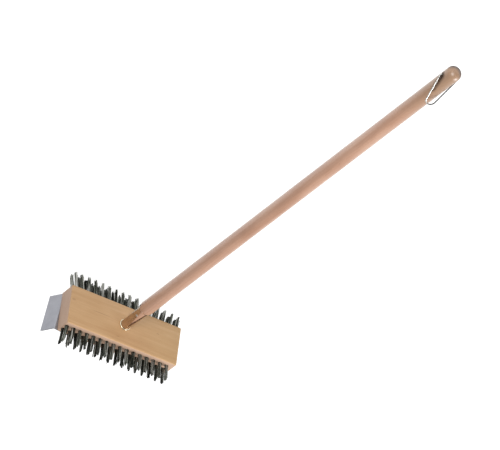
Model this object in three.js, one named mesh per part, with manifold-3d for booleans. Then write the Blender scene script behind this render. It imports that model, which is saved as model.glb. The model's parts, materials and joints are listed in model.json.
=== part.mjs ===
// Long-handled grill cleaning brush, in millimetres.
// The origin is the centre of the head block's back face. X runs along the head, with the scraper at -X.
// Y runs along the handle, from the head to the end of the grip. Z runs across the head, and wire tufts
// stand on both of its long sides, +Z and -Z.

import * as THREE from "three";
import { mergeVertices } from "three/addons/utils/BufferGeometryUtils.js";
import Module from "manifold-3d";

// Clearance between touching pieces, and how far a cutting tool runs past the surface it cuts
const GAP = 0.3;
const OVERCUT = 1;
const HOLE_SIDES = 10;

// Head block
const BLOCK_LENGTH = 214;
const BLOCK_DEPTH = 37;
const BLOCK_WIDTH = 74;
const BLOCK_EASE = 2;
const BLOCK_EASE_STEPS = 2;
const BLOCK_CORNER = 1.5;
const BLOCK_CORNER_STEPS = 3;

// Handle
const HANDLE_LENGTH = 1048;
const HANDLE_RADIUS = 12.7;
const HANDLE_SIDES = 28;
const SHOULDER_LENGTH = 9;
const SHOULDER_EASE_LENGTH = 2.2;
const SHOULDER_EASE_DEPTH = 0.5;
const DOME_LENGTH = 12;
const DOME_STEPS = 5;

// Socket that joins the handle to the block
const SOCKET_FOOT_RADIUS = 8.7;
const SOCKET_MOUTH_RADIUS = 9.6;
const SOCKET_WALL = 1;
const SOCKET_FOOT = 20;
const SOCKET_MOUTH = 102;
const SEAM_START = 48;
const SEAM_MOUTH_WIDTH = 12;
const SEAM_ANGLE = THREE.MathUtils.degToRad(92);
const COLLAR_RADIUS = 10.4;
const COLLAR_HEIGHT = 2;
const COLLAR_EASE = 0.3;

// Nails through the socket into the handle
const NAIL_Y = 88;
const NAIL_ANGLES = { nail_near: THREE.MathUtils.degToRad(132), nail_far: THREE.MathUtils.degToRad(-48) };
const NAIL_HEAD_RADIUS = 1.9;
const NAIL_HEAD_HEIGHT = 0.9;
const NAIL_SHANK_RADIUS = 0.9;
const NAIL_LENGTH = 6;
const NAIL_POINT = 2;
const NAIL_SIDES = 10;
const NAIL_DOME_STEPS = 2;

// Hanging bail
const PIVOT_Y = 1024;
const PIVOT_HOLE_RADIUS = 2.5;
const WIRE_RADIUS = 1;
const BAIL_HALF_SPAN = 14.8;
const BAIL_END_RADIUS = 8;
const BAIL_LENGTH = 59;
const BAIL_CORNER = 2.2;
const BAIL_END_GAP = 1.5;
const BAIL_REST = THREE.MathUtils.degToRad(21.5);
const BAIL_STEPS = 56;
const BAIL_ROUNDNESS = 4;
const BAIL_ARC_STEPS = 4;

// Scraper blade. Its flange is let into the block's back, a little out of square with the block's end.
const SCRAPER_WIDTH = 72;
const SCRAPER_THICKNESS = 1.6;
const SCRAPER_FLANGE = 26;
const SCRAPER_BLADE = 26.4;
const SCRAPER_BEND = THREE.MathUtils.degToRad(65);
const SCRAPER_BEND_RADIUS = 2;
const SCRAPER_BEND_STEPS = 4;
const SCRAPER_EDGE = 0.5;
const SCRAPER_BEVEL = 4;
const SCRAPER_SKEW = THREE.MathUtils.degToRad(-6.9);

// Scraper screws, at a distance from the bend
const SCREW_INSET = 14;
const SCREW_SPACING = 18;
const SCREW_HEAD_RADIUS = 4;
const SCREW_HEAD_HEIGHT = 2.4;
const SCREW_SHANK_RADIUS = 1.9;
const SCREW_LENGTH = 18;
const SCREW_POINT = 5;
const SCREW_SIDES = 16;
const SCREW_DOME_STEPS = 3;
const SCREW_SLOT_WIDTH = 1;
const SCREW_SLOT_DEPTH = 1.2;

// Tufts: two rows on each long side, side by side, and set off towards one end of that side
const TUFT_PITCH = 13;
const TUFTS_IN_ROW = 16;
const TUFT_OFFSET = -3.8;
const OUTER_ROW = { name: "outer", y: 24.7 };
const INNER_ROW = { name: "inner", y: 12.3 };
const TUFTS_PER_STRIP = 4;
const TUFT_SIDES = 8;
const TUFT_ROOT_RADIUS = 3.2;
const TUFT_TIP_HALF_WIDTH = 7.2;
const TUFT_TIP_HALF_THICKNESS = 5;
const TUFT_HOLE_DEPTH = 13;
const ANCHOR_LENGTH = 5.6;
const ANCHOR_WIDTH = 1.4;
const ANCHOR_HEIGHT = 1.6;
const STRIP_SEPARATION = 0.6;

// The tufts of each side, at the head's -X end (low) and its +X end (high): how far they lean towards +X, in
// degrees, and how long they are. The lean follows a power of the share of the way along the head.
const SIDES = [
  { name: "upper", turn: 0, leanLow: -8, leanHigh: 5, leanPower: 0.5, lengthLow: 32.5, lengthHigh: 29.5 },
  { name: "lower", turn: Math.PI, leanLow: -10, leanHigh: 9, leanPower: 2, lengthLow: 35, lengthHigh: 28 },
];

const WOOD = { color: 0xb98f68, roughness: 0.55, metalness: 0 };
const HANDLE_WOOD = { color: 0xac8469, roughness: 0.5, metalness: 0 };
const TIN = { color: 0x8c705a, roughness: 0.35, metalness: 0.9 };
const BRIGHT_STEEL = { color: 0xc8c8c4, roughness: 0.25, metalness: 1 };
const BLADE_STEEL = { color: 0x9a9ba6, roughness: 0.4, metalness: 0.9 };
const TUFT_STEEL = { color: 0x4a5048, roughness: 0.45, metalness: 0.8 };

const wasm = await Module();
wasm.setup();

// A closed three.js geometry as a solid for cutting and joining.
function toSolid(geometry) {
  geometry.deleteAttribute("normal");
  geometry.deleteAttribute("uv");
  const merged = mergeVertices(geometry, 1e-3);
  const vertProperties = merged.attributes.position.array;
  const triVerts = new Uint32Array(merged.index.array);
  return new wasm.Manifold(new wasm.Mesh({ numProp: 3, vertProperties, triVerts }));
}

// A solid as a three.js geometry.
function toGeometry(solid) {
  const { numProp, vertProperties, triVerts } = solid.getMesh();
  const geometry = new THREE.BufferGeometry();
  geometry.setAttribute("position", new THREE.BufferAttribute(vertProperties, numProp));
  geometry.setIndex(new THREE.BufferAttribute(triVerts, 1));
  return geometry;
}

function joined(geometries) {
  return geometries.map(toSolid).reduce((whole, next) => whole.add(next));
}

function cut(solid, tools) {
  return tools.map(toSolid).reduce((rest, tool) => rest.subtract(tool), solid);
}

function piece(name, geometry, finish) {
  const mesh = new THREE.Mesh(geometry, new THREE.MeshStandardMaterial(finish));
  mesh.name = name;
  return mesh;
}

// A body turned about the Y axis, from [radius, y] points.
function turned(points, sides) {
  return new THREE.LatheGeometry(
    points.map(([radius, y]) => new THREE.Vector2(radius, y)),
    sides,
  );
}

// The points of a dome that closes a lathe profile, from [radius, base] to the axis at base + height.
function domePoints(radius, base, height, steps) {
  return Array.from({ length: steps + 1 }, (_, i) => {
    const angle = (i / steps) * (Math.PI / 2);
    return [i === steps ? 0 : radius * Math.cos(angle), base + height * Math.sin(angle)];
  });
}

// A cylinder along Y from yLow to yHigh, at (x, z).
function pegY(radius, yLow, yHigh, x, z, sides) {
  const peg = new THREE.CylinderGeometry(radius, radius, yHigh - yLow, sides);
  return peg.translate(x, (yLow + yHigh) / 2, z);
}

// The socket's outer radius at a height y.
function socketRadius(y) {
  const share = THREE.MathUtils.clamp((y - SOCKET_FOOT) / (SOCKET_MOUTH - SOCKET_FOOT), 0, 1);
  return THREE.MathUtils.lerp(SOCKET_FOOT_RADIUS, SOCKET_MOUTH_RADIUS, share);
}

// Places a piece made along +X so that it points out of the socket at an angle about the handle's axis.
// Angle 0 is +X and 90 degrees is +Z.
function aimFromSocket(geometry, angle, y) {
  return geometry.rotateY(-angle).translate(0, y, 0);
}

// The tufts of a row, as places along the head in their side's own frame.
function tuftPlaces() {
  const first = TUFT_OFFSET - (TUFT_PITCH * (TUFTS_IN_ROW - 1)) / 2;
  return Array.from({ length: TUFTS_IN_ROW }, (_, i) => first + i * TUFT_PITCH);
}

// The share of the way along the head, from its -X end, of a place in a side's own frame: x runs against
// +X on the turned side.
function shareAt(side, x) {
  const along = side.turn ? -x : x;
  return THREE.MathUtils.clamp(along / BLOCK_LENGTH + 0.5, 0, 1);
}

// A side's lean, in radians, at a place in that side's own frame.
function leanAt(side, x) {
  const share = Math.pow(shareAt(side, x), side.leanPower);
  const lean = THREE.MathUtils.degToRad(THREE.MathUtils.lerp(side.leanLow, side.leanHigh, share));
  return side.turn ? -lean : lean;
}

// --- Head block -------------------------------------------------------------------------------------

function blockBlank() {
  const halfLength = BLOCK_LENGTH / 2 - BLOCK_EASE;
  const halfWidth = BLOCK_WIDTH / 2 - BLOCK_EASE;
  const outline = new THREE.Shape();
  const corners = [
    [1, 1, 0],
    [-1, 1, 1],
    [-1, -1, 2],
    [1, -1, 3],
  ];
  for (const [signX, signZ, quarter] of corners) {
    const centreX = signX * (halfLength - BLOCK_CORNER);
    const centreZ = signZ * (halfWidth - BLOCK_CORNER);
    const start = (quarter * Math.PI) / 2;
    outline.absarc(centreX, centreZ, BLOCK_CORNER, start, start + Math.PI / 2, false);
  }
  const blank = new THREE.ExtrudeGeometry(outline, {
    depth: BLOCK_DEPTH - 2 * BLOCK_EASE,
    bevelSize: BLOCK_EASE,
    bevelThickness: BLOCK_EASE,
    bevelSegments: BLOCK_EASE_STEPS,
    curveSegments: BLOCK_CORNER_STEPS,
  });
  return blank.translate(0, 0, BLOCK_EASE).rotateX(-Math.PI / 2);
}

function tuftHoles(side) {
  const radius = TUFT_ROOT_RADIUS + GAP;
  const reach = TUFT_HOLE_DEPTH + OVERCUT;
  const holes = [];
  for (const row of [OUTER_ROW, INNER_ROW]) {
    for (const x of tuftPlaces()) {
      const hole = new THREE.CylinderGeometry(radius, radius, reach, HOLE_SIDES).rotateX(Math.PI / 2);
      hole.translate(x, row.y, BLOCK_WIDTH / 2 + OVERCUT - reach / 2);
      holes.push(hole.rotateY(side.turn));
    }
  }
  return holes;
}

function screwPlaces() {
  return [-SCREW_SPACING, 0, SCREW_SPACING];
}

// Places a piece of the scraper, made with its bend along Z at the origin, at the block's end.
function atScraper(geometry) {
  return geometry.rotateY(SCRAPER_SKEW).translate(-BLOCK_LENGTH / 2, 0, 0);
}

// The shallow housing in the block's back that takes the scraper's flange.
function scraperHousing() {
  const depth = SCRAPER_THICKNESS + GAP;
  const length = 2 * (SCRAPER_FLANGE + GAP);
  const housing = new THREE.BoxGeometry(length, 2 * depth, 2 * BLOCK_WIDTH);
  return atScraper(housing);
}

function screwHole(z, yLow, yHigh) {
  return atScraper(pegY(SCREW_SHANK_RADIUS + GAP, yLow, yHigh, SCREW_INSET, z, HOLE_SIDES));
}

function headBlock() {
  const boreFoot = SOCKET_FOOT - GAP;
  const boreRadius = socketRadius(BLOCK_DEPTH) + GAP;
  const bore = pegY(boreRadius, boreFoot, BLOCK_DEPTH + OVERCUT, 0, 0, HANDLE_SIDES);
  const pilots = screwPlaces().map((z) => screwHole(z, -OVERCUT, SCREW_LENGTH));
  const holes = SIDES.flatMap(tuftHoles);
  const block = cut(toSolid(blockBlank()), [bore, scraperHousing(), ...pilots, ...holes]);
  return piece("head_block", toGeometry(block), WOOD);
}

// --- Handle and socket ------------------------------------------------------------------------------

// The hole for a nail, through the socket's wall and on into the handle.
function nailHole(angle) {
  const radius = NAIL_SHANK_RADIUS + GAP;
  const hole = new THREE.CylinderGeometry(radius, radius, NAIL_LENGTH + 2 * OVERCUT, HOLE_SIDES);
  hole.rotateZ(-Math.PI / 2);
  hole.translate(socketRadius(NAIL_Y) - NAIL_LENGTH / 2, 0, 0);
  return aimFromSocket(hole, angle, NAIL_Y);
}

function handle() {
  const clearance = SOCKET_WALL + GAP;
  const shoulderEnd = SOCKET_MOUTH + SHOULDER_LENGTH;
  const profile = [
    [0, SOCKET_FOOT],
    [SOCKET_FOOT_RADIUS - clearance, SOCKET_FOOT],
    [SOCKET_MOUTH_RADIUS - clearance, SOCKET_MOUTH],
    [SOCKET_MOUTH_RADIUS, SOCKET_MOUTH + 2 * GAP],
    [HANDLE_RADIUS - SHOULDER_EASE_DEPTH, shoulderEnd - SHOULDER_EASE_LENGTH],
    [HANDLE_RADIUS, shoulderEnd],
    ...domePoints(HANDLE_RADIUS, HANDLE_LENGTH - DOME_LENGTH, DOME_LENGTH, DOME_STEPS),
  ];
  const across = 4 * HANDLE_RADIUS;
  const pivotHole = new THREE.CylinderGeometry(PIVOT_HOLE_RADIUS, PIVOT_HOLE_RADIUS, across, HOLE_SIDES);
  pivotHole.rotateZ(Math.PI / 2).translate(0, PIVOT_Y, 0);
  const nailHoles = Object.values(NAIL_ANGLES).map(nailHole);
  const body = cut(toSolid(turned(profile, HANDLE_SIDES)), [pivotHole, ...nailHoles]);
  return piece("handle", toGeometry(body), HANDLE_WOOD);
}

// The socket's open seam is a wedge that starts at a point and widens to the mouth.
function seamCutter() {
  const wedge = new THREE.Shape();
  wedge.moveTo(0, SEAM_START);
  wedge.lineTo(SEAM_MOUTH_WIDTH / 2, SOCKET_MOUTH + OVERCUT);
  wedge.lineTo(-SEAM_MOUTH_WIDTH / 2, SOCKET_MOUTH + OVERCUT);
  const cutter = new THREE.ExtrudeGeometry(wedge, { depth: 2 * SOCKET_MOUTH_RADIUS, bevelEnabled: false });
  return cutter.rotateY(Math.PI / 2 - SEAM_ANGLE);
}

function handleSocket() {
  const profile = [
    [SOCKET_FOOT_RADIUS - SOCKET_WALL, SOCKET_FOOT],
    [SOCKET_FOOT_RADIUS, SOCKET_FOOT],
    [SOCKET_MOUTH_RADIUS, SOCKET_MOUTH],
    [SOCKET_MOUTH_RADIUS - SOCKET_WALL, SOCKET_MOUTH],
    [SOCKET_FOOT_RADIUS - SOCKET_WALL, SOCKET_FOOT],
  ];
  const nailHoles = Object.values(NAIL_ANGLES).map(nailHole);
  const shell = cut(toSolid(turned(profile, HANDLE_SIDES)), [seamCutter(), ...nailHoles]);
  return piece("handle_socket", toGeometry(shell), TIN);
}

function socketCollar() {
  const low = BLOCK_DEPTH + GAP;
  const high = low + COLLAR_HEIGHT;
  const inner = socketRadius(high) + GAP;
  const profile = [
    [inner, low],
    [COLLAR_RADIUS - COLLAR_EASE, low],
    [COLLAR_RADIUS, low + COLLAR_EASE],
    [COLLAR_RADIUS, high - 2 * COLLAR_EASE],
    [COLLAR_RADIUS - 2 * COLLAR_EASE, high],
    [inner, high],
    [inner, low],
  ];
  return piece("socket_collar", turned(profile, HANDLE_SIDES), TIN);
}

// A nail along +X, its domed head bearing on the socket.
function nail(name, angle) {
  const seat = socketRadius(NAIL_Y) + GAP;
  const tip = seat - NAIL_LENGTH;
  const profile = [
    [0, tip],
    [NAIL_SHANK_RADIUS, tip + NAIL_POINT],
    [NAIL_SHANK_RADIUS, seat],
    ...domePoints(NAIL_HEAD_RADIUS, seat, NAIL_HEAD_HEIGHT, NAIL_DOME_STEPS),
  ];
  const body = turned(profile, NAIL_SIDES).rotateZ(-Math.PI / 2);
  return piece(name, aimFromSocket(body, angle, NAIL_Y), BRIGHT_STEEL);
}

// --- Hanging bail -----------------------------------------------------------------------------------

// One wire, bent in at both ends to sit in the handle's cross hole. It is drawn with the loop towards -Y.
function bailRoute() {
  const arcY = BAIL_END_RADIUS - BAIL_LENGTH;
  const legAngle = Math.atan2(BAIL_HALF_SPAN - BAIL_END_RADIUS, -arcY);
  const route = new THREE.CurvePath();
  const right = [
    [BAIL_END_GAP, 0],
    [BAIL_HALF_SPAN - BAIL_CORNER, 0],
    [BAIL_HALF_SPAN, 0],
    [BAIL_HALF_SPAN - BAIL_CORNER * Math.sin(legAngle), -BAIL_CORNER],
    [BAIL_END_RADIUS, arcY],
  ].map(([x, y]) => new THREE.Vector3(x, y, 0));
  const left = right.map((point) => new THREE.Vector3(-point.x, point.y, 0));
  const endArc = Array.from({ length: BAIL_ARC_STEPS - 1 }, (_, i) => {
    const angle = ((i + 1) / BAIL_ARC_STEPS) * Math.PI;
    const x = BAIL_END_RADIUS * Math.cos(angle);
    return new THREE.Vector3(x, arcY - BAIL_END_RADIUS * Math.sin(angle), 0);
  });
  route.add(new THREE.LineCurve3(right[0], right[1]));
  route.add(new THREE.QuadraticBezierCurve3(right[1], right[2], right[3]));
  route.add(new THREE.LineCurve3(right[3], right[4]));
  route.add(new THREE.CatmullRomCurve3([right[4], ...endArc, left[4]]));
  route.add(new THREE.LineCurve3(left[4], left[3]));
  route.add(new THREE.QuadraticBezierCurve3(left[3], left[2], left[1]));
  route.add(new THREE.LineCurve3(left[1], left[0]));
  return route;
}

function hangBail() {
  const section = new THREE.Shape().absarc(0, 0, WIRE_RADIUS, 0, 2 * Math.PI, false);
  const wire = new THREE.ExtrudeGeometry(section, {
    extrudePath: bailRoute(),
    steps: BAIL_STEPS,
    curveSegments: BAIL_ROUNDNESS,
  });
  const bail = piece("hang_bail", wire, BRIGHT_STEEL);
  bail.rotation.x = -BAIL_REST;
  bail.position.y = PIVOT_Y;
  return bail;
}

// --- Scraper ----------------------------------------------------------------------------------------

// The blade's section, with the bend at x = 0: a flange with its back at y = 0, a bend, and a bevelled blade.
function scraperSection() {
  const start = Math.PI / 2;
  const finish = start + SCRAPER_BEND;
  const outer = SCRAPER_BEND_RADIUS + SCRAPER_THICKNESS;
  const centre = new THREE.Vector2(0, -SCRAPER_BEND_RADIUS);
  const along = new THREE.Vector2(-Math.cos(SCRAPER_BEND), -Math.sin(SCRAPER_BEND));
  const across = new THREE.Vector2(Math.cos(finish), Math.sin(finish));
  const bladePoint = (length, radius) =>
    centre.clone().addScaledVector(across, radius).addScaledVector(along, length);
  const frontEdge = bladePoint(SCRAPER_BLADE, outer);
  const backEdge = bladePoint(SCRAPER_BLADE, outer - SCRAPER_EDGE);
  const bevelStart = bladePoint(SCRAPER_BLADE - SCRAPER_BEVEL, SCRAPER_BEND_RADIUS);
  const section = new THREE.Shape();
  section.moveTo(SCRAPER_FLANGE, SCRAPER_THICKNESS);
  section.lineTo(0, SCRAPER_THICKNESS);
  section.absarc(centre.x, centre.y, outer, start, finish, false);
  section.lineTo(frontEdge.x, frontEdge.y);
  section.lineTo(backEdge.x, backEdge.y);
  section.lineTo(bevelStart.x, bevelStart.y);
  section.absarc(centre.x, centre.y, SCRAPER_BEND_RADIUS, finish, start, true);
  section.lineTo(SCRAPER_FLANGE, 0);
  return section;
}

function scraperBlade() {
  const plate = new THREE.ExtrudeGeometry(scraperSection(), {
    depth: SCRAPER_WIDTH,
    bevelEnabled: false,
    curveSegments: SCRAPER_BEND_STEPS,
  });
  atScraper(plate.translate(0, 0, -SCRAPER_WIDTH / 2));
  const holes = screwPlaces().map((z) => screwHole(z, -OVERCUT, SCRAPER_THICKNESS + OVERCUT));
  return piece("scraper_blade", toGeometry(cut(toSolid(plate), holes)), BLADE_STEEL);
}

// A slotted round-head screw along +Y, its head behind the flange.
function scraperScrew(name, z) {
  const seat = -GAP;
  const crown = seat - SCREW_HEAD_HEIGHT;
  const point = seat + SCREW_LENGTH;
  const profile = [
    ...domePoints(SCREW_HEAD_RADIUS, seat, -SCREW_HEAD_HEIGHT, SCREW_DOME_STEPS).reverse(),
    [SCREW_SHANK_RADIUS, seat],
    [SCREW_SHANK_RADIUS, point - SCREW_POINT],
    [0, point],
  ];
  const slot = new THREE.BoxGeometry(3 * SCREW_HEAD_RADIUS, 2 * SCREW_SLOT_DEPTH, SCREW_SLOT_WIDTH);
  slot.translate(0, crown, 0);
  const body = toGeometry(cut(toSolid(turned(profile, SCREW_SIDES)), [slot]));
  return piece(name, atScraper(body.translate(SCREW_INSET, 0, z)), BRIGHT_STEEL);
}

// --- Tufts ------------------------------------------------------------------------------------------

// One bundle of wires: round in its hole, then fanned out along the head and leaning. It stands along +Z,
// with z = 0 at the block's surface, and the anchor wire that holds its fold lies across its foot.
function tuft(x, y, lean, length) {
  const fold = ANCHOR_HEIGHT + GAP - TUFT_HOLE_DEPTH;
  const profile = [
    [0, fold],
    [TUFT_ROOT_RADIUS, fold],
    [TUFT_ROOT_RADIUS, 0],
    [TUFT_TIP_HALF_WIDTH, length],
    [0, length],
  ];
  const bundle = turned(profile, TUFT_SIDES).rotateX(Math.PI / 2);
  const points = bundle.attributes.position;
  for (let i = 0; i < points.count; i++) {
    const out = Math.max(0, points.getZ(i));
    const flat = THREE.MathUtils.lerp(1, TUFT_TIP_HALF_THICKNESS / TUFT_TIP_HALF_WIDTH, out / length);
    points.setX(i, points.getX(i) + out * Math.tan(lean));
    points.setY(i, points.getY(i) * flat);
  }
  const anchor = new THREE.BoxGeometry(ANCHOR_LENGTH, ANCHOR_WIDTH, 2 * ANCHOR_HEIGHT).translate(0, 0, fold);
  return joined([bundle, anchor]).translate(x, y, 0);
}

// A block that takes away everything beyond a strip's end. It leans with the tufts on either side of x,
// and out is the direction along the head in which it lies.
function stripEnd(side, row, x, out) {
  const end = new THREE.BoxGeometry(4 * TUFT_PITCH, 2 * TUFT_PITCH, 4 * side.lengthLow);
  end.translate(out * (2 * TUFT_PITCH - STRIP_SEPARATION / 2), 0, 0);
  return end.rotateY(leanAt(side, x)).translate(x, row.y, 0);
}

// Neighbouring tufts whose tips run into each other, as one strip.
function tuftStrip(side, row, places, number) {
  const tufts = places.map((x) => {
    const length = THREE.MathUtils.lerp(side.lengthLow, side.lengthHigh, shareAt(side, x));
    return tuft(x, row.y, leanAt(side, x), length);
  });
  const strip = tufts.reduce((whole, next) => whole.add(next));
  const low = stripEnd(side, row, places[0] - TUFT_PITCH / 2, -1);
  const high = stripEnd(side, row, places.at(-1) + TUFT_PITCH / 2, 1);
  const geometry = toGeometry(cut(strip, [low, high])).translate(0, 0, BLOCK_WIDTH / 2);
  const mesh = piece(`tufts_${side.name}_${row.name}_${number}`, geometry, TUFT_STEEL);
  mesh.rotation.y = side.turn;
  return mesh;
}

function tuftStrips(side, row) {
  const places = tuftPlaces();
  const count = Math.ceil(places.length / TUFTS_PER_STRIP);
  return Array.from({ length: count }, (_, i) => {
    const group = places.slice(i * TUFTS_PER_STRIP, (i + 1) * TUFTS_PER_STRIP);
    return tuftStrip(side, row, group, i + 1);
  });
}

const brush = new THREE.Group();
brush.add(headBlock(), handle(), handleSocket(), socketCollar());
for (const [name, angle] of Object.entries(NAIL_ANGLES)) brush.add(nail(`socket_${name}`, angle));
brush.add(hangBail(), scraperBlade());
screwPlaces().forEach((z, i) => brush.add(scraperScrew(`scraper_screw_${i + 1}`, z)));
for (const side of SIDES) brush.add(...tuftStrips(side, OUTER_ROW), ...tuftStrips(side, INNER_ROW));

export default brush;
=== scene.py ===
# Long-handled grill cleaning brush: the visual model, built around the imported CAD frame.
# Metres, in the row frame: X along the head (scraper at -X), Y along the handle, Z across the head.
import json
import math
import random

import bmesh
import bpy
from mathutils import Matrix, Quaternion, Vector


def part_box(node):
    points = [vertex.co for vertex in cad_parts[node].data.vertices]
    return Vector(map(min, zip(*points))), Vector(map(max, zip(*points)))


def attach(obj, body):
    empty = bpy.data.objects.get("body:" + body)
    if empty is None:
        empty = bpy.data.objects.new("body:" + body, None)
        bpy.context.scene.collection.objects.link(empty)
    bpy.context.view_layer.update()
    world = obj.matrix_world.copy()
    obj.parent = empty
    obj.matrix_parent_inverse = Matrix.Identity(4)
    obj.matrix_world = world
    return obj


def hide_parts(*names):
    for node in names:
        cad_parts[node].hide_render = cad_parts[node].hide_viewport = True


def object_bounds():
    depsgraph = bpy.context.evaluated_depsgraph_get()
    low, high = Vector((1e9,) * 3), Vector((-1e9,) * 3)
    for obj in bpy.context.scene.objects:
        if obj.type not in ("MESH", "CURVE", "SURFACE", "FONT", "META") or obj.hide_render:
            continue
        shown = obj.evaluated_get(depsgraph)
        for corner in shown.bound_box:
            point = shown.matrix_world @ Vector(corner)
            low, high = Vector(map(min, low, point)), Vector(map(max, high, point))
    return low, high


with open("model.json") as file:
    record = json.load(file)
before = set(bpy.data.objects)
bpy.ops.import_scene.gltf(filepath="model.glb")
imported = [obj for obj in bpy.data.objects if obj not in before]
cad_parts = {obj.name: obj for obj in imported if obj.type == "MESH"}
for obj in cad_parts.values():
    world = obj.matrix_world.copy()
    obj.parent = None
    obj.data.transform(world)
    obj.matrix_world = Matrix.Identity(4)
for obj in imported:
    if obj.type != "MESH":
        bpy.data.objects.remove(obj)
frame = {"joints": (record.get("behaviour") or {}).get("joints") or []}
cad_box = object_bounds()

MM = 0.001
SEED = 41
BUMP_STRENGTH = 0.5

# Mesh clean-up: points closer than this are merged, and a radius under the other is on the axis. Angles, in
# degrees, above which an edge stays sharp and above which it is eased.
MERGE_DISTANCE = 1e-6
AXIS_RADIUS = 1e-9
SHARP_ANGLE = 35
EASE_ANGLE = 30

# How far a cutter runs past the surface it cuts, and the clearance between touching pieces
OVERCUT = 1 * MM
GAP = 0.3 * MM

# Head block. Its far colour is painted towards +X, where the photo is darker.
BLOCK_LOW, BLOCK_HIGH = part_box("head_block")
BLOCK_EASE = 2.4 * MM
BLOCK_EASE_STEPS = 4
BLOCK_COLOURS = ((0.64, 0.41, 0.225), (0.55, 0.335, 0.165), (0.46, 0.255, 0.115))
BLOCK_FAR_COLOUR = (0.43, 0.275, 0.12)
BLOCK_SIDE_COLOUR = (0.52, 0.37, 0.31)
TUFT_HOLE_RADIUS = 3.5 * MM
TUFT_HOLE_DEPTH = 13 * MM
SCREW_HOLE_RADIUS = 2.2 * MM

# Marks in the block's face: x, z, half length, half width and strength
BLOCK_MARKS = (
    (-46 * MM, -4 * MM, 24 * MM, 0.9 * MM, 0.35),
    (-101 * MM, -10 * MM, 5 * MM, 2.4 * MM, 0.3),
    (-10 * MM, 26 * MM, 4 * MM, 1.1 * MM, 0.4),
    (64 * MM, -8 * MM, 3.5 * MM, 1.1 * MM, 0.4),
)
MARK_DEPTH = 2 * MM
MARK_COLOUR = (0.2, 0.085, 0.035)

# Handle
HANDLE_LOW, HANDLE_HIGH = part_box("handle")
HANDLE_RADIUS = HANDLE_HIGH.x
HANDLE_SIDES = 72
HANDLE_COLOURS = ((0.56, 0.335, 0.225), (0.48, 0.265, 0.17), (0.38, 0.19, 0.11))
GRIP_COLOUR = (0.29, 0.175, 0.095)
GRIP_FADE_START = 160 * MM
GRIP_FADE_END = 50 * MM
GRIP_STRENGTH = 0.75
TENON_EASE = 0.5 * MM
TENON_EASE_LENGTH = 1 * MM
SHOULDER_START = 0.6 * MM
SHOULDER_LENGTH = 9 * MM
SHOULDER_STEPS = 8
DOME_LENGTH = 12 * MM
DOME_SHRINK = 0.998
DOME_STEPS = 12

# The shaft isn't quite straight-sided. A slow and a fast wave run along Y, in radians per metre.
SHAFT_RINGS = 60
SHAFT_WAVE_DEPTH = 0.004
SHAFT_WAVE_SHARE = 0.6
SHAFT_FAST_SHARE = 0.6
SHAFT_SLOW_WAVE = 61
SHAFT_FAST_WAVE = 143

# The bail's cross hole
PIVOT = Vector(frame["joints"][0]["pos_m"])
PIVOT_HOLE_RADIUS = 2.5 * MM
PIVOT_HOLE_SIDES = 32

# Painted shadow of the bail's near leg on the grip, placed for one view, from the cross hole to a fading end.
# It doesn't move with the bail. Each end has its degrees about the handle (0 is +X, 90 is +Z), y from the
# pivot, half length, half width and strength.
GRIP_SHADOW_START = (172, 0, 9 * MM, 8 * MM, 1)
GRIP_SHADOW_END = (129, -30 * MM, 11 * MM, 4.5 * MM, 0.75)
GRIP_SHADOW_STEPS = 7
GRIP_SHADOW_COLOUR = (0.035, 0.022, 0.016)

# Painted shade: gray patches along the dome's outline as one fixed view sees it, copying a dark rim there.
# They don't follow the camera. Each is a direction from the dome's centre.
DOME_SHADE = ((-0.34, 0.39, -0.85), (0.36, 0.64, -0.69), (0.85, 0.52, -0.12))
DOME_SHADE_SIZE = 12 * MM
DOME_SHADE_STRENGTH = 0.85
DOME_SHADE_COLOUR = (0.11, 0.09, 0.085)

# Socket
SOCKET_LOW, SOCKET_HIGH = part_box("handle_socket")
SOCKET_FOOT_RADIUS = 8.7 * MM
SOCKET_MOUTH_RADIUS = SOCKET_HIGH.x
SOCKET_WALL = 1 * MM
SOCKET_SIDES = 72
SOCKET_RINGS = 40
SOCKET_DENT = 0.08 * MM
SOCKET_DENTS_AROUND = 5
SOCKET_DENTS_ALONG = 400
SEAM_START = 48 * MM
SEAM_CLOSED_HALF_ANGLE = 0.006
SEAM_CLOSED_CURL = 0.15
SEAM_HALF_MOUTH = 6 * MM
SEAM_ANGLE = math.radians(92)
SEAM_CURL = 0.7 * MM
SEAM_CURL_WIDTH = 2.5 * MM
SOCKET_SHARP_ANGLE = 50

# Collar round the socket's foot
COLLAR_SIDES = 64
COLLAR_BEAD_STEPS = 16
COLLAR_LIP = 0.2 * MM

# Nails
NAIL_ANGLES = {"socket_nail_near": math.radians(132), "socket_nail_far": math.radians(-48)}
NAIL_LENGTH = 6 * MM
NAIL_SHANK_LENGTH = 4 * MM
NAIL_SHANK_RADIUS = 0.9 * MM
NAIL_HEAD_RADIUS = 1.9 * MM
NAIL_HEAD_RIM = 0.15 * MM
NAIL_HEAD_DOME = 0.75 * MM
NAIL_HEAD_STEPS = 6
NAIL_SIDES = 28
NAIL_HOLE_RADIUS = 1.2 * MM
NAIL_HOLE_INNER = 5 * MM
NAIL_HOLE_OUTER = 12 * MM
NAIL_HOLE_SIDES = 16

# Bail
WIRE_RADIUS = 1 * MM
BAIL_HALF_SPAN = 14.8 * MM
BAIL_END_RADIUS = 8 * MM
BAIL_LENGTH = 59 * MM
BAIL_CORNER = 2.2 * MM
BAIL_END_GAP = 1.5 * MM
BAIL_REST = math.radians(21.5)
BAIL_SIDES = 16
BAIL_TIP = 0.6
BAIL_PIN_POINTS = 11
BAIL_PIN_STEP = 1 * MM
BAIL_CORNER_STEPS = 8
BAIL_LEG_STEPS = 20
BAIL_END_STEPS = 12
BAIL_SHARP_ANGLE = 60
# The wire's bright plate, and a dark painted reflection on its +X leg, fading in between the x values below.
BAIL_BRIGHT_COLOUR = (0.62, 0.61, 0.58)
BAIL_DARK_REFLECTION_COLOUR = (0.035, 0.036, 0.032)
BAIL_DARK_REFLECTION_FROM = -7 * MM
BAIL_DARK_REFLECTION_TO = 3 * MM

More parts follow.
